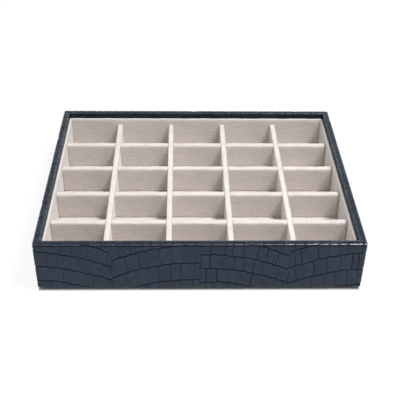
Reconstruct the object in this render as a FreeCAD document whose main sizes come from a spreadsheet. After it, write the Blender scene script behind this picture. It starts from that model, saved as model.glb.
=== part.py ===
"""Stackable jewellery tray: a leather-wrapped box with a velvet lining and a half-lapped divider grid.

Millimetres, +Z up. The origin is the middle of the underside. The front faces -Y and the width runs along X.
"""
import FreeCAD
import Part
import Sketcher
import os

doc = FreeCAD.newDocument("jewellery_tray")

# Driving dimensions
SIZES = [
    ("tray_width", 250.0, "outside, left to right"),
    ("tray_depth", 200.0, "outside, front to back"),
    ("tray_height", 45.0, "table to rim"),
    ("leather", 0.8, "leatherette thickness"),
    ("wall_board", 3.8, "thickness of the four walls"),
    ("base_board", 5.2, "thickness of the base panel"),
    ("rim_round", 1.2, "radius of the rolled outer edges, at the rim and underneath"),
    ("rim_inner_round", 0.6, "radius of the inner edge of the rim"),
    ("corner_round", 1.5, "radius of the upright outside corners"),
    ("turn_inside", 12.0, "leather turned down inside the rim"),
    ("turn_under", 16.0, "leather turned under the base"),
    ("plinth_drop", 2.0, "height of the plinth below the leather"),
    ("plinth_round", 1.2, "corner radius of the plinth in plan"),
    ("nest_gap", 0.8, "room round the plinth in the rim of the tray below"),
    ("felt", 0.6, "felt thickness"),
    ("velvet", 0.6, "velvet thickness, backing and pile"),
    ("floor_card", 2.0, "thickness of the floor card"),
    ("liner_card", 0.5, "thickness of the wall liners' card"),
    ("liner_drop", 5.2, "rim to the top of the wall liners"),
    ("liner_round", 0.7, "radius of the liners' top edges and ends"),
    ("row_core", 4.4, "thickness of the row dividers' board"),
    ("column_core", 3.2, "thickness of the column dividers' board"),
    ("divider_drop", 5.9, "top of the liners to the top of the dividers"),
    ("divider_round", 1.6, "radius of the dividers' top edges and ends"),
    ("end_gap", 0.2, "room between a divider's end and the liner"),
    ("lap_gap", 0.2, "room round a divider in the slot that it crosses"),
    ("row_count", 5, "compartments, front to back"),
    ("column_count", 5, "compartments, left to right"),
]

sheet = doc.addObject("Spreadsheet::Sheet", "Sizes")
for line, (alias, value, note) in enumerate(SIZES, start=1):
    sheet.set(f"A{line}", alias)
    sheet.set(f"B{line}", str(value))
    sheet.setAlias(f"B{line}", alias)
    sheet.set(f"C{line}", note)
doc.recompute()

# Sizes and places that follow from the driving dimensions
RIM = "(Sizes.wall_board + 2 * Sizes.leather)"
WRAP_HEIGHT = "(Sizes.tray_height - Sizes.plinth_drop)"
BASE_Z = "(Sizes.plinth_drop + Sizes.leather)"
WALL_Z = f"({BASE_Z} + Sizes.base_board)"
WALL_HEIGHT = f"(Sizes.tray_height - Sizes.leather - {WALL_Z})"
FLOOR_Z = f"({WALL_Z} + Sizes.floor_card + Sizes.velvet)"
CARCASS_WIDTH = "(Sizes.tray_width - 2 * Sizes.leather)"
CARCASS_DEPTH = "(Sizes.tray_depth - 2 * Sizes.leather)"
INSIDE_WIDTH = f"({CARCASS_WIDTH} - 2 * Sizes.wall_board)"
INSIDE_DEPTH = f"({CARCASS_DEPTH} - 2 * Sizes.wall_board)"
WELL_WIDTH = f"(Sizes.tray_width - 2 * {RIM})"
WELL_DEPTH = f"(Sizes.tray_depth - 2 * {RIM})"
LINER = "(Sizes.liner_card + 2 * Sizes.velvet)"
LINER_HEIGHT = f"(Sizes.tray_height - Sizes.liner_drop - {FLOOR_Z})"
LINED_WIDTH = f"({WELL_WIDTH} - 2 * {LINER})"
LINED_DEPTH = f"({WELL_DEPTH} - 2 * {LINER})"
ROW_DIVIDER = "(Sizes.row_core + 2 * Sizes.velvet)"
COLUMN_DIVIDER = "(Sizes.column_core + 2 * Sizes.velvet)"
DIVIDER_HEIGHT = f"({LINER_HEIGHT} - Sizes.divider_drop)"
COLUMN_PITCH = f"(({LINED_WIDTH} + {COLUMN_DIVIDER}) / Sizes.column_count)"
ROW_PITCH = f"(({LINED_DEPTH} + {ROW_DIVIDER}) / Sizes.row_count)"

# Two places nearer than this count as one. A fillet takes at most this share of its strip's thickness, and at
# most this many times the cloth, so that the corner of the core stays covered.
SAME = 1e-3
ROUND_SHARE = 0.45
CORNER_SHARE = 2.7

sub_parts = []


def bind(thing, **expressions):
    """Tie properties to expressions. A double underscore in a name stands for a dot."""
    for name, expression in expressions.items():
        thing.setExpression(name.replace("__", "."), expression)


def new_body(label, x="0", y="0", z="0", turn=0.0):
    """An empty sub-part at bound coordinates, turned about the vertical by a fixed angle."""
    body = doc.addObject("PartDesign::Body", label)
    body.Label = label
    body.Placement = FreeCAD.Placement(FreeCAD.Vector(), FreeCAD.Rotation(FreeCAD.Vector(0, 0, 1), turn))
    bind(body, Placement__Base__x=x, Placement__Base__y=y, Placement__Base__z=z)
    sub_parts.append(body)
    return body


def add_rectangle(sketch, width, height):
    """A rectangle about the sketch's origin, with both sides bound."""
    first = sketch.GeometryCount
    half = 5.0
    places = ((-half, -half), (half, -half), (half, half), (-half, half))
    corners = [FreeCAD.Vector(x, y, 0) for x, y in places]
    for start, end in zip(corners, corners[1:] + corners[:1]):
        sketch.addGeometry(Part.LineSegment(start, end))
    bottom, right, top, left = range(first, first + 4)
    for edge, following in ((bottom, right), (right, top), (top, left), (left, bottom)):
        sketch.addConstraint(Sketcher.Constraint("Coincident", edge, 2, following, 1))
    for edge in (bottom, top):
        sketch.addConstraint(Sketcher.Constraint("Horizontal", edge))
    for edge in (right, left):
        sketch.addConstraint(Sketcher.Constraint("Vertical", edge))
    sketch.addConstraint(Sketcher.Constraint("Symmetric", bottom, 1, right, 2, -1, 1))
    across = sketch.addConstraint(Sketcher.Constraint("DistanceX", bottom, 1, bottom, 2, 2 * half))
    up = sketch.addConstraint(Sketcher.Constraint("DistanceY", right, 1, right, 2, 2 * half))
    sketch.setExpression(f"Constraints[{across}]", width)
    sketch.setExpression(f"Constraints[{up}]", height)


def rectangle_sketch(body, name, plane, width, height, x="0", y="0", z="0", hole=None):
    """A rectangle, or a frame with a hole, set off from one of the body's planes by x, y and z."""
    sketch = body.newObject("Sketcher::SketchObject", name)
    support = next(feature for feature in body.Origin.OriginFeatures if feature.Role == plane)
    sketch.AttachmentSupport = [(support, "")]
    sketch.MapMode = "FlatFace"
    bind(sketch, AttachmentOffset__Base__x=x, AttachmentOffset__Base__y=y, AttachmentOffset__Base__z=z)
    add_rectangle(sketch, width, height)
    if hole:
        add_rectangle(sketch, *hole)
    return sketch


def pad(body, name, width, depth, height):
    """A block standing on the body's XY plane."""
    feature = body.newObject("PartDesign::Pad", name)
    feature.Profile = rectangle_sketch(body, name + "_sketch", "XY_Plane", width, depth)
    bind(feature, Length=height)
    doc.recompute()


def check_cut(body, name, before):
    doc.recompute()
    if body.Shape.Volume > before - SAME:
        raise RuntimeError(f"{body.Label}: {name} cuts nothing")


def pocket(body, name, width, depth, height, z="0", hole=None):
    """Cut a block, or a frame round a hole, out of the body from z upwards."""
    before = body.Shape.Volume
    feature = body.newObject("PartDesign::Pocket", name)
    feature.Profile = rectangle_sketch(body, name + "_sketch", "XY_Plane", width, depth, z=z, hole=hole)
    feature.Reversed = True
    bind(feature, Length=height)
    check_cut(body, name, before)


def fillet(body, name, radius, chosen):
    """Round those edges of the body that chosen accepts."""
    base = body.Tip
    edges = [f"Edge{i}" for i, edge in enumerate(base.Shape.Edges, start=1) if chosen(edge.BoundBox)]
    feature = body.newObject("PartDesign::Fillet", name)
    feature.Base = (base, edges)
    bind(feature, Radius=radius)
    doc.recompute()


def upright(edge):
    return edge.ZLength > SAME and edge.XLength < SAME and edge.YLength < SAME


def at_level(z):
    """A test for edges that lie flat at the height z."""
    return lambda edge: abs(edge.ZMin - z) < SAME and abs(edge.ZMax - z) < SAME


def size_of(expression):
    """The value of an expression in the sizes."""
    return sheet.evalExpression(expression)


# Carcass: the walls stand on the base panel, and the side walls fit between the front and the back
base_board = new_body("base_board", z=BASE_Z)
pad(base_board, "panel", CARCASS_WIDTH, CARCASS_DEPTH, "Sizes.base_board")

for label, side in (("front_wall_board", "-"), ("back_wall_board", "+")):
    wall = new_body(label, y=f"{side}({CARCASS_DEPTH} - Sizes.wall_board) / 2", z=WALL_Z)
    pad(wall, "wall", CARCASS_WIDTH, "Sizes.wall_board", WALL_HEIGHT)

for label, side in (("left_wall_board", "-"), ("right_wall_board", "+")):
    wall = new_body(label, x=f"{side}({CARCASS_WIDTH} - Sizes.wall_board) / 2", z=WALL_Z)
    pad(wall, "wall", "Sizes.wall_board", INSIDE_DEPTH, WALL_HEIGHT)

# Leather: round the walls, over the rim and down inside, and turned under the base
leather_wrap = new_body("leather_wrap", z="Sizes.plinth_drop")
pad(leather_wrap, "outside", "Sizes.tray_width", "Sizes.tray_depth", WRAP_HEIGHT)
fillet(leather_wrap, "upright_corners", "min(Sizes.corner_round; 2 * Sizes.leather)", upright)
at_rim = at_level(size_of(WRAP_HEIGHT))
fillet(leather_wrap, "rolled_rim", "min(Sizes.rim_round; 2 * Sizes.leather)", at_rim)
fillet(leather_wrap, "rolled_foot", "min(Sizes.rim_round; 2 * Sizes.leather)", at_level(0.0))
pocket(leather_wrap, "well", WELL_WIDTH, WELL_DEPTH, WRAP_HEIGHT, z="Sizes.leather")
pocket(leather_wrap, "open_base", "Sizes.tray_width - 2 * Sizes.turn_under",
       "Sizes.tray_depth - 2 * Sizes.turn_under", "Sizes.leather")
pocket(leather_wrap, "carcass_space", CARCASS_WIDTH, CARCASS_DEPTH,
       f"{WRAP_HEIGHT} - Sizes.turn_inside - Sizes.leather", z="Sizes.leather")
pocket(leather_wrap, "rim_space", CARCASS_WIDTH, CARCASS_DEPTH, "Sizes.turn_inside - Sizes.leather",
       z=f"{WRAP_HEIGHT} - Sizes.turn_inside", hole=(INSIDE_WIDTH, INSIDE_DEPTH))
well_side = size_of(WELL_WIDTH) / 2 + SAME
fillet(leather_wrap, "inner_rim", "min(Sizes.rim_inner_round; Sizes.leather)",
       lambda edge: at_rim(edge) and max(abs(edge.XMin), abs(edge.XMax)) < well_side)

# Plinth: a thin board under the base, skinned with felt, small enough to sit in the rim of the tray below
PLINTH_WIDTH = f"({WELL_WIDTH} - 2 * Sizes.nest_gap)"
PLINTH_DEPTH = f"({WELL_DEPTH} - 2 * Sizes.nest_gap)"
PLINTH_BOARD_WIDTH = f"({PLINTH_WIDTH} - 2 * Sizes.felt)"
PLINTH_BOARD_DEPTH = f"({PLINTH_DEPTH} - 2 * Sizes.felt)"
PLINTH_BOARD_HEIGHT = "(Sizes.plinth_drop - Sizes.felt)"

plinth_board = new_body("plinth_board", z="Sizes.felt")
pad(plinth_board, "board", PLINTH_BOARD_WIDTH, PLINTH_BOARD_DEPTH, PLINTH_BOARD_HEIGHT)

plinth_felt = new_body("plinth_felt")
pad(plinth_felt, "outside", PLINTH_WIDTH, PLINTH_DEPTH, "Sizes.plinth_drop")
fillet(plinth_felt, "upright_corners", "min(Sizes.plinth_round; 2 * Sizes.felt)", upright)
pocket(plinth_felt, "board_space", PLINTH_BOARD_WIDTH, PLINTH_BOARD_DEPTH, PLINTH_BOARD_HEIGHT,
       z="Sizes.felt")

# Floor: velvet on card, laid on the base panel before the liners go in
floor_card = new_body("floor_card", z=WALL_Z)
pad(floor_card, "card", INSIDE_WIDTH, INSIDE_DEPTH, "Sizes.floor_card")

floor_velvet = new_body("floor_velvet", z=f"{WALL_Z} + Sizes.floor_card")
pad(floor_velvet, "cloth", INSIDE_WIDTH, INSIDE_DEPTH, "Sizes.velvet")


def wrapped_strip(core_label, velvet_label, length, core, height, edge_round, x="0", y="0", turn=0.0):
    """A strip of card or board standing on the floor, and the velvet over its faces, top and ends."""
    thickness = f"({core} + 2 * Sizes.velvet)"
    core_length = f"({length} - 2 * Sizes.velvet)"
    core_height = f"({height} - Sizes.velvet)"
    strip = new_body(core_label, x, y, FLOOR_Z, turn)
    pad(strip, "strip", core_length, core, core_height)
    cover = new_body(velvet_label, x, y, FLOOR_Z, turn)
    pad(cover, "outside", length, thickness, height)
    round_limit = f"min({edge_round}; {CORNER_SHARE} * Sizes.velvet; {ROUND_SHARE} * {thickness})"
    top_edge = at_level(size_of(height))
    fillet(cover, "soft_edges", round_limit, lambda edge: upright(edge) or top_edge(edge))
    pocket(cover, "core_space", core_length, core, core_height)
    return strip, cover


def cut_laps(body, height, crossing, count, pitch, from_above):
    """Slot the strip to half its height wherever a strip of the crossing thickness goes through it."""
    before = body.Shape.Volume
    reach = f"{height} - Sizes.lap_gap / 2" if from_above else "Sizes.lap_gap / 2"
    slot = body.newObject("PartDesign::Pocket", "lap_slot")
    slot.Profile = rectangle_sketch(body, "lap_slot_sketch", "XZ_Plane",
                                    f"{crossing} + Sizes.lap_gap", height,
                                    x=f"(1 - {count} / 2) * {pitch}", y=reach)
    slot.SideType = "Symmetric"
    slot.Type = "ThroughAll"
    check_cut(body, "lap_slot", before)
    slots = body.newObject("PartDesign::LinearPattern", "lap_slots")
    slots.Originals = [slot]
    slots.Direction = (slot.Profile[0], ["H_Axis"])
    bind(slots, Length=f"({count} - 2) * {pitch}", Occurrences=f"{count} - 1")
    body.Tip = slots
    doc.recompute()


# Wall liners: the side ones run the whole depth, and the front and back ones fit between them
for side, sign in (("front", "-"), ("back", "+")):
    wrapped_strip(f"{side}_liner_card", f"{side}_liner_velvet", LINED_WIDTH, "Sizes.liner_card", LINER_HEIGHT,
                  "Sizes.liner_round", y=f"{sign}({WELL_DEPTH} - {LINER}) / 2")

for side, sign in (("left", "-"), ("right", "+")):
    wrapped_strip(f"{side}_liner_card", f"{side}_liner_velvet", WELL_DEPTH, "Sizes.liner_card", LINER_HEIGHT,
                  "Sizes.liner_round", x=f"{sign}({WELL_WIDTH} - {LINER}) / 2", turn=90.0)

# Divider grid: rows run left to right, slotted from above, and columns front to back, slotted from below
for number in range(1, int(sheet.row_count)):
    pieces = wrapped_strip(f"row_divider_core_{number}", f"row_divider_velvet_{number}",
                           f"({LINED_WIDTH} - 2 * Sizes.end_gap)", "Sizes.row_core", DIVIDER_HEIGHT,
                           "Sizes.divider_round", y=f"({number} - Sizes.row_count / 2) * {ROW_PITCH}")
    for piece in pieces:
        cut_laps(piece, DIVIDER_HEIGHT, COLUMN_DIVIDER, "Sizes.column_count", COLUMN_PITCH, from_above=True)

for number in range(1, int(sheet.column_count)):
    pieces = wrapped_strip(f"column_divider_core_{number}", f"column_divider_velvet_{number}",
                           f"({LINED_DEPTH} - 2 * Sizes.end_gap)", "Sizes.column_core", DIVIDER_HEIGHT,
                           "Sizes.divider_round", x=f"({number} - Sizes.column_count / 2) * {COLUMN_PITCH}",
                           turn=90.0)
    for piece in pieces:
        cut_laps(piece, DIVIDER_HEIGHT, ROW_DIVIDER, "Sizes.row_count", ROW_PITCH, from_above=False)

# Every feature has to be sound before a file is written
doc.recompute()
failed = [thing.Label for thing in doc.Objects if {"Invalid", "Error"} & set(thing.State)]
if failed:
    raise RuntimeError(f"failed features: {failed}")
for body in sub_parts:
    if body.Shape.isNull() or not body.Shape.isValid() or len(body.Shape.Solids) != 1:
        raise RuntimeError(f"{body.Label} is not one sound solid")

os.makedirs("parts", exist_ok=True)
for body in sub_parts:
    body.Shape.exportStep(f"parts/{body.Label}.step")
    print(f"{body.Label}: {body.Shape.Volume / 1000:.2f} cm3")
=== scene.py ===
import math

import bpy
import numpy as np
from mathutils import Matrix, Vector


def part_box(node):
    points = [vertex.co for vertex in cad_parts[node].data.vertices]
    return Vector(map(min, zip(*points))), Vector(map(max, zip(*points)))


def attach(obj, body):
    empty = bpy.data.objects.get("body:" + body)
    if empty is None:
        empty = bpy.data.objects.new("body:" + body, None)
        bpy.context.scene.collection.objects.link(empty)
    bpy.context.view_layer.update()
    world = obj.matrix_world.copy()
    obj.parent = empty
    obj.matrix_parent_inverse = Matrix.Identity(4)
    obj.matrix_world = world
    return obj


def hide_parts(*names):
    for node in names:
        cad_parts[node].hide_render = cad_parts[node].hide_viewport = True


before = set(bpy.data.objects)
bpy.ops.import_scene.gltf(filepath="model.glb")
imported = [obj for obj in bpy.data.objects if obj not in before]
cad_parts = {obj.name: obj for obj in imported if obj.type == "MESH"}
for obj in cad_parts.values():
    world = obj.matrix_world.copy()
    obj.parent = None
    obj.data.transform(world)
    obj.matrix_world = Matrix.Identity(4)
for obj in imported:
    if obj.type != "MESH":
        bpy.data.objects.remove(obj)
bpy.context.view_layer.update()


# Carcass: five raw fibreboard panels, a base and four walls, glued into an open box.
# Leather and lining cover them, so they keep the solids of the frame and only get the look of board.
MM = 0.001


def start_material(name):
    """A new material, its node tree and its shader."""
    material = bpy.data.materials.new(name)
    material.use_nodes = True
    return material, material.node_tree, material.node_tree.nodes["Principled BSDF"]


def put_node(tree, kind, sockets, **settings):
    """Adds a node; a socket takes a value, or a link where the output of another node is given."""
    node = tree.nodes.new(kind)
    for setting, value in settings.items():
        setattr(node, setting, value)
    for socket, value in sockets.items():
        if isinstance(value, bpy.types.NodeSocket):
            tree.links.new(value, node.inputs[socket])
        else:
            node.inputs[socket].default_value = value
    return node


def specks(tree, size, detail, stretch=(1, 1, 1)):
    """Noise from 0 to 1 with specks of this size in metres, drawn out along an axis by stretch."""
    place = put_node(tree, "ShaderNodeTexCoord", {}).outputs["Object"]
    drawn = put_node(tree, "ShaderNodeMapping", {"Vector": place, "Scale": [1 / s for s in stretch]})
    sockets = {"Vector": drawn.outputs["Vector"], "Scale": 1 / size, "Detail": detail, "Roughness": 0.6}
    return put_node(tree, "ShaderNodeTexNoise", sockets).outputs["Fac"]


def colours_between(tree, factor, low, high):
    """A colour that follows a factor between two stops (position, colour)."""
    node = put_node(tree, "ShaderNodeValToRGB", {"Fac": factor})
    for element, (position, colour) in zip(node.color_ramp.elements, (low, high)):
        element.position = position
        element.color = (*colour, 1)
    return node.outputs["Color"]


def rough_up(tree, shader, height, depth, strength=1.0):
    """Raises the surface by a height texture, depth metres from its lowest to its highest point."""
    sockets = {"Height": height, "Distance": depth, "Strength": strength}
    below = shader.inputs["Normal"].links
    if below:
        sockets["Normal"] = below[0].from_socket
    bump = put_node(tree, "ShaderNodeBump", sockets)
    tree.links.new(bump.outputs["Normal"], shader.inputs["Normal"])


def board_material(name, fibre_size, dark, light):
    """Pressed board: pale fibres scattered in a darker ground, dull and slightly furry."""
    material, tree, shader = start_material(name)
    fibres = specks(tree, fibre_size, 4, stretch=(3, 1, 1))
    tree.links.new(colours_between(tree, fibres, (0.35, dark), (0.65, light)), shader.inputs["Base Color"])
    shader.inputs["Roughness"].default_value = 0.85
    rough_up(tree, shader, fibres, 0.05 * MM)
    return material


def dress(nodes, material):
    """Gives nodes of the frame a material."""
    for node in nodes:
        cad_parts[node].data.materials.clear()
        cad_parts[node].data.materials.append(material)


fibreboard = board_material("fibreboard", 1.2 * MM, (0.20, 0.12, 0.06), (0.42, 0.28, 0.16))
wall_names = ["front", "back", "left", "right"]
dress(["base_board"] + [f"{wall}_wall_board" for wall in wall_names], fibreboard)


# Leather: one strip of slate-blue leatherette, embossed by a plate with crocodile scales and glued on the
# carcass: it goes round the four walls, over the rim, a little way down inside, and is turned under the base.
# The creases are pressed in for real, so the skin is a fine mesh and the relief moves its points.
skin_low, skin_high = (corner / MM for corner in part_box("leather_wrap"))
skin_half_width, skin_half_depth, rim = skin_high
foot = skin_low.z
wall_height = rim - foot
well_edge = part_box("right_liner_velvet")[1].x / MM
lining_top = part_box("right_liner_velvet")[1].z / MM
rim_width = skin_half_width - well_edge
skin_thickness = 0.8
turned_inside = 12.0
turned_under = 16.0
embossed_under = 8.0
behind_lining = 1.0
outer_roll = 0.8
inner_roll = 0.6
upright_roll = 1.5
least_roll = 0.12
crowned = 0.2
bead_height = 1.75
fine_step = 0.5
rim_step = 0.4
coarse_step = 4.0
points_along_front = 540
points_along_side = 430
points_round_corner = 6


def run(start, end, step):
    """Points (inset, height) on a straight run of the leather's section, without the last one."""
    start, end = np.array(start, float), np.array(end, float)
    count = max(1, math.ceil(np.linalg.norm(end - start) / step))
    return start + (end - start) * np.arange(count)[:, None] / count


def bend(centre, radius, first, last, count):
    """Points (inset, height) on a bend of the leather's section, from one angle to another, in degrees."""
    angles = np.radians(np.linspace(first, last, count, endpoint=False))
    return np.array(centre) + radius * np.column_stack([-np.cos(angles), np.sin(angles)])


rim_edge = rim - crowned
shown_inside = lining_top - behind_lining
top_width = rim_width - outer_roll - inner_roll
rim_top = run((outer_roll, rim_edge), (rim_width - inner_roll, rim_edge), rim_step)
rim_top[:, 1] += crowned * (1 - (2 * (rim_top[:, 0] - outer_roll) / top_width - 1) ** 2)
outside_of_skin = np.vstack([
    run((turned_under, foot), (embossed_under, foot), coarse_step),
    run((embossed_under, foot), (outer_roll, foot), fine_step),
    bend((outer_roll, foot + outer_roll), outer_roll, -90, 0, 6),
    run((0, foot + outer_roll), (0, rim_edge - outer_roll), fine_step),
    bend((outer_roll, rim_edge - outer_roll), outer_roll, 0, 80, 8),
    rim_top,
    bend((rim_width - inner_roll, rim_edge - inner_roll), inner_roll, 100, 180, 4),
    run((rim_width, rim_edge - inner_roll), (rim_width, shown_inside), fine_step),
    run((rim_width, shown_inside), (rim_width, rim - turned_inside), coarse_step),
    [(rim_width, rim - turned_inside)],
])
glued_side = np.array([
    (rim_width - skin_thickness, rim - turned_inside),
    (rim_width - skin_thickness, rim - skin_thickness),
    (skin_thickness, rim - skin_thickness),
    (skin_thickness, foot + skin_thickness),
    (turned_under, foot + skin_thickness),
])


def around(inset):
    """One closed line round the tray at an inset from the outside: points, outward directions, travel.

    Travel is the distance in millimetres along the leather from the middle of the front.
    """
    corner = max(upright_roll - inset, least_roll)
    skin_halves = (skin_half_width, skin_half_depth)
    halves = (skin_half_width - inset, skin_half_depth - inset)
    counts = (points_along_front, points_along_side)
    points, outward, travel = [], [], []
    middle = 0.0
    for side in range(4):
        this, other = side % 2, 1 - side % 2
        straight_end = halves[this] - corner
        along = np.linspace(-straight_end, straight_end, counts[this], endpoint=False)
        straight = np.column_stack([along, np.full(counts[this], -halves[other])])
        straight_out = np.tile([0.0, -1.0], (counts[this], 1))
        angle = np.linspace(-math.pi / 2, 0, points_round_corner, endpoint=False)
        round_out = np.column_stack([np.cos(angle), np.sin(angle)])
        centre = np.array([straight_end, corner - halves[other]])
        quarter = side * math.pi / 2
        turn = np.array([[math.cos(quarter), -math.sin(quarter)], [math.sin(quarter), math.cos(quarter)]])
        points.append(np.vstack([straight, centre + corner * round_out]) @ turn.T)
        outward.append(np.vstack([straight_out, round_out]) @ turn.T)
        corner_end = 2 * skin_halves[this] - straight_end
        corner_travel = np.linspace(straight_end, corner_end, points_round_corner, endpoint=False)
        travel.append(middle + np.concatenate([along, corner_travel]))
        middle += skin_half_width + skin_half_depth
    return np.vstack(points), np.vstack(outward), np.concatenate(travel)


def croc_scales(travel, climb):
    """Lays the plate's scales out on the leather, for points by travel and by climb from the foot.

    The plate has panels whose rows of scales fall away from a crown to one side, turn about. Cross creases
    split the rows into scales, and the row lines have a slight cusp at each scale. The function gives the
    distance from the nearest row line and how hard that is pressed, the same for the nearest cross crease,
    the distance from the seam between two panels, and a tint from -1 to 1 for each scale.
    """
    panel_length = 67.5
    row_heights = np.array([13.7, 15.8, 13.9, 16.8])
    row_starts = np.array([5.9, 3.1, 8.4, 8.4])
    cross_shares = np.array([1.0, 1.0, 0.56, 0.66])
    panel_kinds = len(row_heights)
    fall = 14.5
    crown = 0.15
    steepening = 1.75
    scale_width = 8.2
    scale_play = 0.28
    scale_lean = 0.12
    cross_slant = 0.4
    cusp_height = 0.7
    seam_waver, seam_wave = 0.6, 0.42
    slow_waver, slow_wave = 0.25, 0.23
    quick_waver, quick_wave = 0.10, 1.9
    usual_row_force, row_force_play, row_force_wave = 0.94, 0.06, 0.11
    usual_cross_force, cross_force_play = 0.60, 0.32
    far_off = 99.0
    dice = np.random.default_rng(11)
    throws = 997
    shift, force, lean, tint = dice.uniform(-1, 1, (4, throws))

    edge = travel + seam_waver * np.sin(climb * seam_wave)
    from_seam = np.abs(edge - np.round(edge / panel_length) * panel_length)
    panel = np.floor(edge / panel_length).astype(int)
    kind = panel % panel_kinds
    share = edge / panel_length - panel
    falls_right = panel % 2 == 0
    from_crown = np.where(falls_right, share, 1 - share)
    ramp = np.clip((from_crown - crown) / (1 - crown), 0, 1)
    steepness = steepening * fall * ramp ** (steepening - 1) / (1 - crown) / panel_length
    slope = np.where(falls_right, -steepness, steepness)

    # Primes number the row lines and scales, so that each gets throws of its own.
    row_height = row_heights[kind]
    level = (climb + fall * ramp ** steepening - row_starts[kind]) / row_height
    row_line = np.round(level).astype(int) * 23 + panel * 7
    cusps = np.abs(np.sin(math.pi * (travel / scale_width + shift[row_line % throws])))
    waver = slow_waver * np.sin(travel * slow_wave + row_line)
    waver = waver + quick_waver * np.sin(travel * quick_wave + row_line)
    level = level + (cusp_height * cusps + waver) / row_height
    row = np.floor(level).astype(int)
    part = level - row
    from_row = np.minimum(part, 1 - part) * row_height * np.cos(np.arctan(slope))
    row_force = usual_row_force + row_force_play * np.sin(travel * row_force_wave + row_line)

    seat = panel * 41 + row * 17
    place = (travel + cross_slant * slope * (part - 0.5) * row_height) / scale_width + shift[seat % throws]
    first = np.floor(place).astype(int)
    from_cross = np.full(travel.shape, far_off)
    cross_force = np.zeros(travel.shape)
    scale_tint = np.zeros(travel.shape)
    for step in (-1, 0, 1, 2):
        throw = ((first + step) * 29 + seat) % throws
        line = first + step + scale_play * shift[throw] + scale_lean * lean[throw] * (part - 0.5)
        distance = np.abs(place - line) * scale_width
        nearer = distance < from_cross
        from_cross = np.where(nearer, distance, from_cross)
        cross_force = np.where(nearer, usual_cross_force + cross_force_play * force[throw], cross_force)
        scale_tint = np.where(place > line, tint[throw], scale_tint)
    return from_row, row_force, from_cross, cross_force * cross_shares[kind], from_seam, scale_tint


def bell(distance, width):
    """1 on a line, fading to nothing within about two widths of it."""
    return np.exp(-(distance / width) ** 2)


def croc_relief(travel, climb):
    """Depth of the embossing in millimetres, how far into a crease a point is (for dark dye and painted
    shade), its tone (with painted light and shade) and its gloss.
    """
    crease_depth = 0.40
    shoulder_depth = 0.08
    shoulder_width = 1.3
    row_width, cross_width, seam_width, bead_width = 0.68, 0.44, 0.38, 0.66
    seam_force, shade_under_bead = 0.45, 0.8
    softened_over = 1.5
    rim_softens_rows, rim_softens_crosses = 0.85, 0.75
    lit_beside_row, lit_shoulder_width = 1.7, 0.7
    tint_tone, painted_shoulder_light, inside_painted_shade = 0.10, 0.22, 0.7
    least_gloss, tint_gloss = 0.25, 0.25

    from_row, row_force, from_cross, cross_force, from_seam, tint = croc_scales(travel, climb)
    on_rim = np.clip((climb - wall_height) / softened_over, 0, 1)
    row_crease = row_force * bell(from_row, row_width) * (1 - rim_softens_rows * on_rim)
    cross_crease = cross_force * bell(from_cross, cross_width) * (1 - rim_softens_crosses * on_rim)
    seam_crease = seam_force * bell(from_seam, seam_width)
    crease = np.maximum(np.maximum(row_crease, cross_crease), seam_crease)
    nearest = np.minimum(from_row, from_cross / (0.2 + 0.8 * cross_force))
    depth = crease_depth * crease + shoulder_depth * bell(nearest, shoulder_width)
    below_bead = bell(climb - (wall_height - bead_height), bead_width)
    depth = np.maximum(depth, crease_depth * below_bead)
    # A groove runs below the bead, and crease darkens it there with painted shade, where the leather turns in
    # under the bead.
    crease = np.maximum(crease, shade_under_bead * below_bead)

    # Paler beside each row line: a painted highlight, where the shoulders of the scales would catch light
    # from above.
    tone = 1 + tint_tone * tint + painted_shoulder_light * bell(from_row - lit_beside_row, lit_shoulder_width)
    # Darker where the leather goes down inside the rim: painted shade, as that strip lies in the rim's
    # shadow.
    tone = np.where(climb > wall_height + rim_width, inside_painted_shade, tone)
    gloss = np.clip(from_cross / 1.2 - 0.15, least_gloss, 1) * (1 + tint_gloss * tint)
    return depth, crease, tone, gloss


def add_piece(name, points, faces, material):
    """A smooth mesh object from points in millimetres."""
    mesh = bpy.data.meshes.new(name)
    mesh.from_pydata((np.asarray(points) * MM).tolist(), [], np.asarray(faces).tolist())
    mesh.materials.append(material)
    mesh.shade_smooth()
    piece = bpy.data.objects.new(name, mesh)
    bpy.context.scene.collection.objects.link(piece)
    return piece


def store_on_points(piece, name, values):
    """Keeps one number for each point of a piece, for its material to read."""
    values = np.asarray(values, np.float32).ravel()
    piece.data.attributes.new(name, "FLOAT", "POINT").data.foreach_set("value", values)


def point_value(tree, name):
    """A number that is kept on the points of the mesh."""
    return put_node(tree, "ShaderNodeAttribute", {}, attribute_name=name).outputs["Fac"]


def rescaled(tree, value, before, after):
    """A value clipped to one range (low, high) and drawn out to another."""
    sockets = {"Value": value, "From Min": before[0], "From Max": before[1]}
    sockets.update({"To Min": after[0], "To Max": after[1]})
    return put_node(tree, "ShaderNodeMapRange", sockets).outputs["Result"]


def combined(tree, operation, first, second):
    """Two values made into one, such as their product or the larger of them."""
    return put_node(tree, "ShaderNodeMath", {0: first, 1: second}, operation=operation).outputs["Value"]


def mixed_values(tree, share, first, second):
    """A value that goes from one to another with a share from 0 to 1."""
    return put_node(tree, "ShaderNodeMix", {0: share, 2: first, 3: second}).outputs[0]


def mixed_colours(tree, share, first, second, way="MIX"):
    """A colour that goes from one to another, or is multiplied by it, with a share from 0 to 1."""
    sockets = {0: share, 6: first, 7: second}
    return put_node(tree, "ShaderNodeMix", sockets, data_type="RGBA", blend_type=way).outputs[2]


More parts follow.
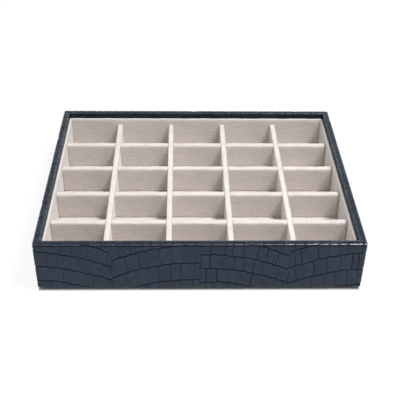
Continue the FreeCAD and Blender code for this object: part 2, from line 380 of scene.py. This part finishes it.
def croc_material():
    """Coated leatherette: slate blue, satin, polished at its edges; nearly black and matt in the creases, by
    dye and by painted shade.

    It has upright hair wrinkles and pores all over, and small pebbles that show most on the rim.
    """
    material, tree, shader = start_material("croc leatherette")
    crease = point_value(tree, "crease")
    pebbled = point_value(tree, "pebbled")
    cloudy = specks(tree, 9 * MM, 3)
    wrinkles = specks(tree, 1.0 * MM, 3, stretch=(1, 1, 6))
    pores = specks(tree, 0.45 * MM, 3)
    pebble_size = 1.6 * MM
    place = put_node(tree, "ShaderNodeTexCoord", {}).outputs["Object"]
    sockets = {"Vector": place, "Scale": 1 / pebble_size}
    pebbles = put_node(tree, "ShaderNodeTexVoronoi", sockets).outputs["Distance"]

    slate = colours_between(tree, cloudy, (0.3, (0.017, 0.030, 0.053)), (0.7, (0.021, 0.036, 0.063)))
    # The creases go nearly black: dark dye and painted shade together, as the grooves would lie in shade.
    crease_dye_and_shade = (0.001, 0.004, 0.014, 1)
    creased = mixed_colours(tree, crease, slate, crease_dye_and_shade)
    grain = mixed_values(tree, pebbled, 1.0, rescaled(tree, pebbles, (0.15, 0.6), (1.45, 0.4)))
    hair_lines = rescaled(tree, wrinkles, (0.3, 0.7), (0.62, 1.38))
    mottled = combined(tree, "MULTIPLY", hair_lines, grain)
    shade = combined(tree, "MULTIPLY", point_value(tree, "tone"), mottled)
    shaded = put_node(tree, "ShaderNodeVectorMath", {0: creased, "Scale": shade}, operation="SCALE")
    tree.links.new(shaded.outputs["Vector"], shader.inputs["Base Color"])

    satin = rescaled(tree, cloudy, (0.3, 0.7), (0.30, 0.40))
    tree.links.new(mixed_values(tree, crease, satin, 1.0), shader.inputs["Roughness"])
    shader.inputs["Specular IOR Level"].default_value = 0.23
    tree.links.new(point_value(tree, "polish"), shader.inputs["Coat Weight"])
    shader.inputs["Coat Roughness"].default_value = 0.3
    shader.inputs["Coat IOR"].default_value = 2.4
    rough_up(tree, shader, wrinkles, 0.07 * MM)
    rough_up(tree, shader, pores, 0.015 * MM)
    rough_up(tree, shader, pebbles, -0.16 * MM, pebbled)
    return material


section_inset, section_height = outside_of_skin.T
ring_points, ring_outward, ring_travel = map(np.array, zip(*[around(inset) for inset in section_inset]))
ring_count = ring_travel.shape[1]
climb = np.concatenate([[0], np.cumsum(np.linalg.norm(np.diff(outside_of_skin, axis=0), axis=1))])
climb -= climb[np.argmax(section_inset < 1e-9)] - outer_roll
along_section = np.gradient(outside_of_skin, axis=0)
along_section /= np.linalg.norm(along_section, axis=1)[:, None]
face_up, face_out = along_section.T

# The embossing fades out where the leather goes behind the lining and where it lies under the base.
depth, crease, tone, gloss = croc_relief(ring_travel, np.broadcast_to(climb[:, None], ring_travel.shape))
fading = 2.0
flush = 0.01
behind = np.clip((shown_inside - section_height) / fading, 0, 1) * (section_inset > rim_width - flush)
beneath = np.clip((section_inset - embossed_under) / fading + 1, 0, 1) * (section_height < foot + flush)
depth = depth * (1 - np.maximum(behind, beneath))[:, None]
skin_points = np.empty((*ring_travel.shape, 3))
skin_points[..., :2] = ring_points - ring_outward * (depth * face_out[:, None])[..., None]
skin_points[..., 2] = section_height[:, None] - depth * face_up[:, None]
glued_points = np.array([
    np.column_stack([around(inset)[0], np.full(ring_count, height)]) for inset, height in glued_side
])
loop_points = np.concatenate([skin_points, glued_points]).reshape(-1, 3)
numbers = np.arange(len(loop_points)).reshape(-1, ring_count)
next_section = np.roll(numbers, -1, axis=0)
skin_faces = np.stack(
    [numbers, np.roll(numbers, -1, axis=1), np.roll(next_section, -1, axis=1), next_section], axis=-1
)
leather = add_piece("croc_leather", loop_points, skin_faces.reshape(-1, 4), croc_material())

# Its edges are polished by use, most of all the rim's outer edge towards the right.
outer_polish, handled_polish, inner_polish, foot_polish = 0.52, 0.42, 0.6, 0.3
handled_from, handled_to, handled_rise = -60, 110, 1.5
crease_dulls = 0.8
wall_pebbles = 0.15
on_outer_edge = bell(climb - (wall_height - 0.3 * outer_roll), 0.5)
on_inner_edge = bell(climb - (wall_height + rim_width - 2 * inner_roll), 0.6)
on_foot_edge = bell(climb - 0.3, 0.6)
handled = np.clip((ring_points[..., 0] - handled_from) / (handled_to - handled_from), 0, 1)
polish = on_outer_edge[:, None] * (outer_polish + handled_polish * handled ** handled_rise)
polish = polish + (inner_polish * on_inner_edge + foot_polish * on_foot_edge)[:, None]
polish = polish * gloss * (1 - crease_dulls * crease)
pebbled = wall_pebbles + (1 - wall_pebbles) * np.clip((climb - wall_height) / outer_roll, 0, 1)
pebbled = np.broadcast_to(pebbled[:, None], ring_travel.shape)
glued_look = {"crease": 0, "tone": 1, "polish": 0, "pebbled": 0}
for look, outside in {"crease": crease, "tone": tone, "polish": polish, "pebbled": pebbled}.items():
    glued = np.full((len(glued_side), ring_count), glued_look[look])
    store_on_points(leather, look, np.vstack([outside, glued]))
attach(leather, "root")
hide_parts("leather_wrap")


# Foot: a skin of pressed felt glued over the plinth panel, so that a tray slides softly in the one below.
# The panel is greyboard. Both solids are right as they stand, and the felt gets matted grey fibres.
def felt_material():
    """Pressed felt: matted short fibres in two greys."""
    material, tree, shader = start_material("grey felt")
    fibres = specks(tree, 0.6 * MM, 5, stretch=(3, 1, 1))
    crossed = specks(tree, 0.6 * MM, 5, stretch=(1, 3, 1))
    matted = combined(tree, "MAXIMUM", fibres, crossed)
    colour = colours_between(tree, matted, (0.4, (0.035, 0.036, 0.039)), (0.7, (0.085, 0.088, 0.093)))
    tree.links.new(colour, shader.inputs["Base Color"])
    shader.inputs["Roughness"].default_value = 0.95
    shader.inputs["Sheen Weight"].default_value = 0.3
    rough_up(tree, shader, matted, 0.25 * MM)
    return material


greyboard = board_material("greyboard", 0.8 * MM, (0.16, 0.15, 0.14), (0.34, 0.33, 0.31))
dress(["plinth_board"], greyboard)
dress(["plinth_felt"], felt_material())


# Floor lining: short-pile cream velvet glued on a grey card, which lies on the base panel under the whole
# divider grid. Painted light makes the pile paler near the tops, so each point keeps how much of it it gets.
def velvet_material():
    """Short-pile velvet: cream, made paler by the painted light a point keeps, with fine level lines of pile
    and specks.
    """
    material, tree, shader = start_material("cream velvet")
    stroked = specks(tree, 14 * MM, 3)
    pile = specks(tree, 0.8 * MM, 3)
    lines_of_pile = specks(tree, 0.9 * MM, 3, stretch=(14, 14, 1))
    plain_cream = colours_between(tree, stroked, (0.3, (0.765, 0.703, 0.666)), (0.7, (0.805, 0.743, 0.706)))
    lit_cream = colours_between(tree, stroked, (0.3, (0.925, 0.884, 0.848)), (0.7, (0.965, 0.924, 0.888)))
    cream = mixed_colours(tree, point_value(tree, "painted_light"), plain_cream, lit_cream)
    unmarked = (1, 1, 1)
    streaks = colours_between(tree, lines_of_pile, (0.3, (0.85, 0.85, 0.85)), (0.7, unmarked))
    speckles = colours_between(tree, pile, (0.32, (0.83, 0.83, 0.83)), (0.62, unmarked))
    marks = mixed_colours(tree, 1.0, streaks, speckles, "MULTIPLY")
    tree.links.new(mixed_colours(tree, 1.0, cream, marks, "MULTIPLY"), shader.inputs["Base Color"])
    shader.inputs["Roughness"].default_value = 0.92
    shader.inputs["Specular IOR Level"].default_value = 0.2
    shader.inputs["Sheen Weight"].default_value = 0.75
    shader.inputs["Sheen Roughness"].default_value = 0.35
    rough_up(tree, shader, lines_of_pile, 0.12 * MM)
    rough_up(tree, shader, pile, 0.16 * MM)
    return material


velvet = velvet_material()
pile_dice = np.random.default_rng(5)


def cut_lines(low, high, rounds, slots):
    """Where a strip's mesh is cut along x, y and z: at slots, closely on rounded edges, evenly between."""
    close_to_slot = 0.15
    over_a_round = np.array([0.15, 0.4, 0.7, 1.0])
    long_side = 60
    long_step, short_step, upright_step = 1.2, 0.6, 2.5
    lines = []
    for axis in range(3):
        level = axis < 2
        ends = {low[axis], high[axis], *(high[axis] - rounds[axis] * over_a_round)}
        if level:
            ends |= set(low[axis] + rounds[axis] * over_a_round)
        beside = (-close_to_slot, 0, close_to_slot) if level else (0,)
        for slot in slots:
            for corner in slot:
                ends |= {corner[axis] + gap for gap in beside if low[axis] < corner[axis] + gap < high[axis]}
        ends = sorted(ends)
        step = short_step if level else upright_step
        if high[axis] - low[axis] > long_side:
            step = long_step
        stretches = [
            np.linspace(a, b, max(1, round((b - a) / step)), endpoint=False) for a, b in zip(ends, ends[1:])
        ]
        lines.append(np.append(np.concatenate(stretches), high[axis]))
    return lines


def outside_faces(filled):
    """The outer faces of the filled cells in a block of cells, as numbers of the block's grid points."""
    grid_shape = np.array(filled.shape) + 1
    grid_numbers = np.arange(np.prod(grid_shape)).reshape(grid_shape)
    padded = np.pad(filled, 1)
    faces = []
    for axis in range(3):
        for side in (0, 1):
            window = [slice(1, -1)] * 3
            window[axis] = slice(2, None) if side else slice(0, -2)
            cell = np.argwhere(filled & ~padded[tuple(window)])
            cell[:, axis] += side
            corners = []
            for first, second in [(0, 0), (1, 0), (1, 1), (0, 1)]:
                corner = cell.copy()
                corner[:, (axis + 1) % 3] += first
                corner[:, (axis + 2) % 3] += second
                corners.append(grid_numbers[tuple(corner.T)])
            faces.append(np.column_stack(corners if side else corners[::-1]))
    return np.vstack(faces)


def soft_block(name, low, high, edge_round, end_round, light_on_top, lift, slots=(), light_on_sides=0.0):
    """A velvet-covered strip between two corners, in millimetres, rounded above and, less, at its ends.

    Slots are boxes (low corner, high corner) cut out of it. Lift raises its top, and its points waver a
    little, as pile does. light_on_top is how much painted light makes the pile paler at the top, and
    light_on_sides the share of that on the sides.
    """
    low, high = np.array(low, float), np.array(high, float)
    rounds = np.full(3, edge_round)
    rounds[np.argmax(high - low)] = end_round
    cuts = cut_lines(low, high, rounds, slots)
    middles = np.meshgrid(*[(cut[1:] + cut[:-1]) / 2 for cut in cuts], indexing="ij")
    filled = np.ones(middles[0].shape, bool)
    for slot_low, slot_high in slots:
        inside = [(middle > a) & (middle < b) for middle, a, b in zip(middles, slot_low, slot_high)]
        filled &= ~(inside[0] & inside[1] & inside[2])
    used, faces = np.unique(outside_faces(filled), return_inverse=True)
    points = np.stack(np.meshgrid(*cuts, indexing="ij"), axis=-1).reshape(-1, 3)[used]

    core = np.clip(points, low + rounds * [1, 1, 0], high - rounds)
    reach = points - core
    share = np.linalg.norm(reach / rounds, axis=1)[:, None]
    points = np.where(share > 1, core + reach / np.maximum(share, 1e-9), points)

    slow_waver, slow_wave = 0.09, 0.21
    quick_waver, quick_wave = 0.07, 0.47
    side_waver, level_wave, upright_wave = 0.05, 0.9, 0.7
    full_turn = 6.3
    phase = pile_dice.uniform(0, full_turn, 3)
    along = points[:, 0] + points[:, 1]
    waver = slow_waver * np.sin(along * slow_wave + phase[0])
    waver = waver + quick_waver * np.sin(along * quick_wave + phase[1])
    upper = np.clip((points[:, 2] - low[2]) / (high[2] - low[2]), 0, 1)
    points[:, 2] += upper * (lift - waver)
    across = points[:, [1, 0]] * level_wave + points[:, 2:] * upright_wave
    points[:, :2] += side_waver * np.sin(across + phase[1:])
    piece = add_piece(name, points, faces.reshape(-1, 4), velvet)

    # Painted light: the pile is made paler near the top, fading out a few millimetres below it, as if lit
    # there.
    lit_below_top, lit_fades_over = 2.4, 1.6
    near_top = np.clip((points[:, 2] - high[2] + lit_below_top) / lit_fades_over, light_on_sides, 1)
    store_on_points(piece, "painted_light", light_on_top * near_top)
    return piece


def in_mm(node):
    """The two corners of a node of the frame, in millimetres."""
    return tuple(np.array(corner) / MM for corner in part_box(node))


dress(["floor_card"], greyboard)
# light_on_top paints the thin floor lining paler all over, as light falling on it.
floor_lining = soft_block(
    "floor_lining", *in_mm("floor_velvet"), edge_round=0.3, end_round=0.3, light_on_top=0.45, lift=-0.16
)
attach(floor_lining, "root")
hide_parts("floor_velvet")


# Wall liners: four strips of grey card wrapped in the same velvet and glued to the walls below the rim.
# The side ones run the whole depth of the well and hold the front and back ones between them.
# light_on_top paints the top edges of the liners paler, as light falling on them.
liner_finish = {"edge_round": 0.7, "end_round": 0.5, "light_on_top": 0.85, "lift": -0.05}
for wall in wall_names:
    liner = soft_block(f"{wall}_liner", *in_mm(f"{wall}_liner_velvet"), **liner_finish)
    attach(liner, "root")
    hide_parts(f"{wall}_liner_velvet")
dress([f"{wall}_liner_card" for wall in wall_names], greyboard)


# Divider grid: velvet-wrapped strips of thin fibreboard, half-lapped at every crossing. The rows are slotted
# from above and the columns from below, so that the columns run through on top.
lap_play = 0.1
pushed_left = np.array([0.25, 0, 0])
beyond = 5.0
# light_on_top paints the tops paler as light falling on them, and on the columns their sides too.
divider_finish = {
    "row": {"edge_round": 1.6, "end_round": 0.5, "light_on_top": 0.2, "lift": 0.2},
    "column": {"edge_round": 1.0, "end_round": 0.5, "light_on_top": 0.4, "lift": 0.2, "light_on_sides": 1.0},
}
divider_numbers = (1, 2, 3, 4)
rows = {number: in_mm(f"row_divider_velvet_{number}") for number in divider_numbers}
columns = {number: in_mm(f"column_divider_velvet_{number}") for number in divider_numbers}
divider_low, divider_high = rows[1]
lap_height = (divider_low[2] + divider_high[2]) / 2


def lap_cuts(strip, crossing, upper):
    """Boxes cut from a strip where the crossing strips pass, in its upper or its lower half."""
    cuts = []
    across = 1 if upper else 0
    for low, high in crossing.values():
        cut_low = np.maximum(strip[0], low) - lap_play
        cut_high = np.minimum(strip[1], high) + lap_play
        cut_low[across] -= beyond
        cut_high[across] += beyond
        cut_low[2] = lap_height if upper else strip[0][2] - beyond
        cut_high[2] = strip[1][2] + beyond if upper else lap_height
        cuts.append((cut_low, cut_high))
    return cuts


for kind, strips, crossing in (("row", rows, columns), ("column", columns, rows)):
    for number, strip in strips.items():
        laps = lap_cuts(strip, crossing, upper=kind == "row")
        start = strip[0] - pushed_left if kind == "row" else strip[0]
        divider = soft_block(f"{kind}_divider_{number}", start, strip[1], slots=laps, **divider_finish[kind])
        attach(divider, "root")
        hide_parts(f"{kind}_divider_velvet_{number}")
    dress([f"{kind}_divider_core_{number}" for number in divider_numbers], fibreboard)


# Table and light: a plain pale floor that renders white and keeps the shadow, with a painted shadow where the
# tray stands and just before its front, where the paper is greyer; a small soft lamp above on the right, a
# faint one behind on the left, and even light all round. The camera stands in front and looks down into the
# tray.
def seen_directly(tree):
    """1 where a thing is seen, also in a reflection or through glass, and 0 where it only gives light."""
    seen = put_node(tree, "ShaderNodeLightPath", {}).outputs
    mirrored = combined(tree, "MAXIMUM", seen["Is Glossy Ray"], seen["Is Transmission Ray"])
    return combined(tree, "MAXIMUM", seen["Is Camera Ray"], mirrored)


def table_material():
    """Pale matt paper, mostly white by itself where it is seen, so that only a faint shadow stays on it."""
    white_by_itself = 0.90
    material, tree, shader = start_material("white paper")
    pale = put_node(tree, "ShaderNodeBsdfDiffuse", {"Color": (0.80, 0.80, 0.80, 1)}).outputs["BSDF"]
    bleached = put_node(tree, "ShaderNodeBsdfDiffuse", {"Color": (1, 1, 1, 1)}).outputs["BSDF"]
    white = put_node(tree, "ShaderNodeEmission", {"Color": (1, 1, 1, 1), "Strength": 1.0}).outputs["Emission"]
    shown = put_node(tree, "ShaderNodeMixShader", {0: white_by_itself, 1: bleached, 2: white})
    sockets = {0: seen_directly(tree), 1: pale, 2: shown.outputs["Shader"]}
    paper = put_node(tree, "ShaderNodeMixShader", sockets)
    tree.links.new(paper.outputs["Shader"], tree.nodes["Material Output"].inputs["Surface"])
    tree.nodes.remove(shader)
    return material


table_reach = 6000.0
# Painted shadow: the paper is a darker grey under the tray and 0.9 mm before its front, for the dark line
# under the front edge.
shaded_inset, shaded_before = 0.6, 0.9
shaded_side = skin_half_width - shaded_inset
shaded_back = skin_half_depth - shaded_inset
shaded_front = skin_half_depth + shaded_before
table = add_piece(
    "table",
    [(-table_reach, -table_reach, 0), (table_reach, -table_reach, 0),
     (table_reach, table_reach, 0), (-table_reach, table_reach, 0),
     (-shaded_side, -shaded_front, 0), (shaded_side, -shaded_front, 0),
     (shaded_side, shaded_back, 0), (-shaded_side, shaded_back, 0)],
    [(4, 5, 6, 7), (0, 1, 5, 4), (1, 2, 6, 5), (2, 3, 7, 6), (3, 0, 4, 7)],
    table_material(),
)
# The grey of the painted shadow under the tray.
shaded_paper, _, shaded_paper_shader = start_material("paper with painted shadow")
shaded_paper_shader.inputs["Base Color"].default_value = (0.47, 0.47, 0.47, 1)
shaded_paper_shader.inputs["Roughness"].default_value = 1.0
table.data.materials.append(shaded_paper)
table.data.polygons[0].material_index = 1

light_all_round = 0.50
world = bpy.data.worlds.new("even light")
bpy.context.scene.world = world
world.use_nodes = True
world_tree = world.node_tree
sky = world_tree.nodes["Background"]
sky_way = put_node(world_tree, "ShaderNodeTexCoord", {}).outputs["Generated"]
sky_rise = put_node(world_tree, "ShaderNodeSeparateXYZ", {"Vector": sky_way}).outputs["Z"]
backdrop = rescaled(world_tree, sky_rise, (0.50, 0.66), (1.0, 0.15))
sky_strength = rescaled(world_tree, seen_directly(world_tree), (0, 1), (light_all_round, backdrop))
sky.inputs["Color"].default_value = (1, 1, 1, 1)
world_tree.links.new(sky_strength, sky.inputs["Strength"])


def hang_lamp(name, place, size, power):
    """A square lamp that faces the tray, with its place and size in metres and its power in watts."""
    lamp = bpy.data.objects.new(name, bpy.data.lights.new(name, "AREA"))
    lamp.data.energy = power
    lamp.data.size = size
    lamp.location = place
    lamp.rotation_euler = (-lamp.location).to_track_quat("-Z", "Y").to_euler()
    bpy.context.scene.collection.objects.link(lamp)


hang_lamp("key_lamp", place=(0.56, -0.25, 1.40), size=0.35, power=18.7)
hang_lamp("side_lamp", place=(-1.20, 0.50, 0.50), size=0.7, power=3.1)

camera_place = Vector((-14.3, -544.2, 410.0)) * MM
camera_yaw = math.radians(1.70)
camera_pitch = math.radians(36.11)
camera_roll = math.radians(-1.00)
focal_pixels = 774.5
frame_pixels = 400
camera = bpy.data.objects.new("camera", bpy.data.cameras.new("camera"))
camera.data.sensor_width = 36
camera.data.lens = focal_pixels / frame_pixels * camera.data.sensor_width
camera.data.clip_start = 0.01
camera.matrix_world = (
    Matrix.Translation(camera_place)
    @ Matrix.Rotation(-camera_yaw, 4, "Z")
    @ Matrix.Rotation(math.pi / 2 - camera_pitch, 4, "X")
    @ Matrix.Rotation(-camera_roll, 4, "Z")
)
bpy.context.scene.collection.objects.link(camera)
bpy.context.scene.camera = camera
bpy.context.scene.view_settings.view_transform = "Standard"
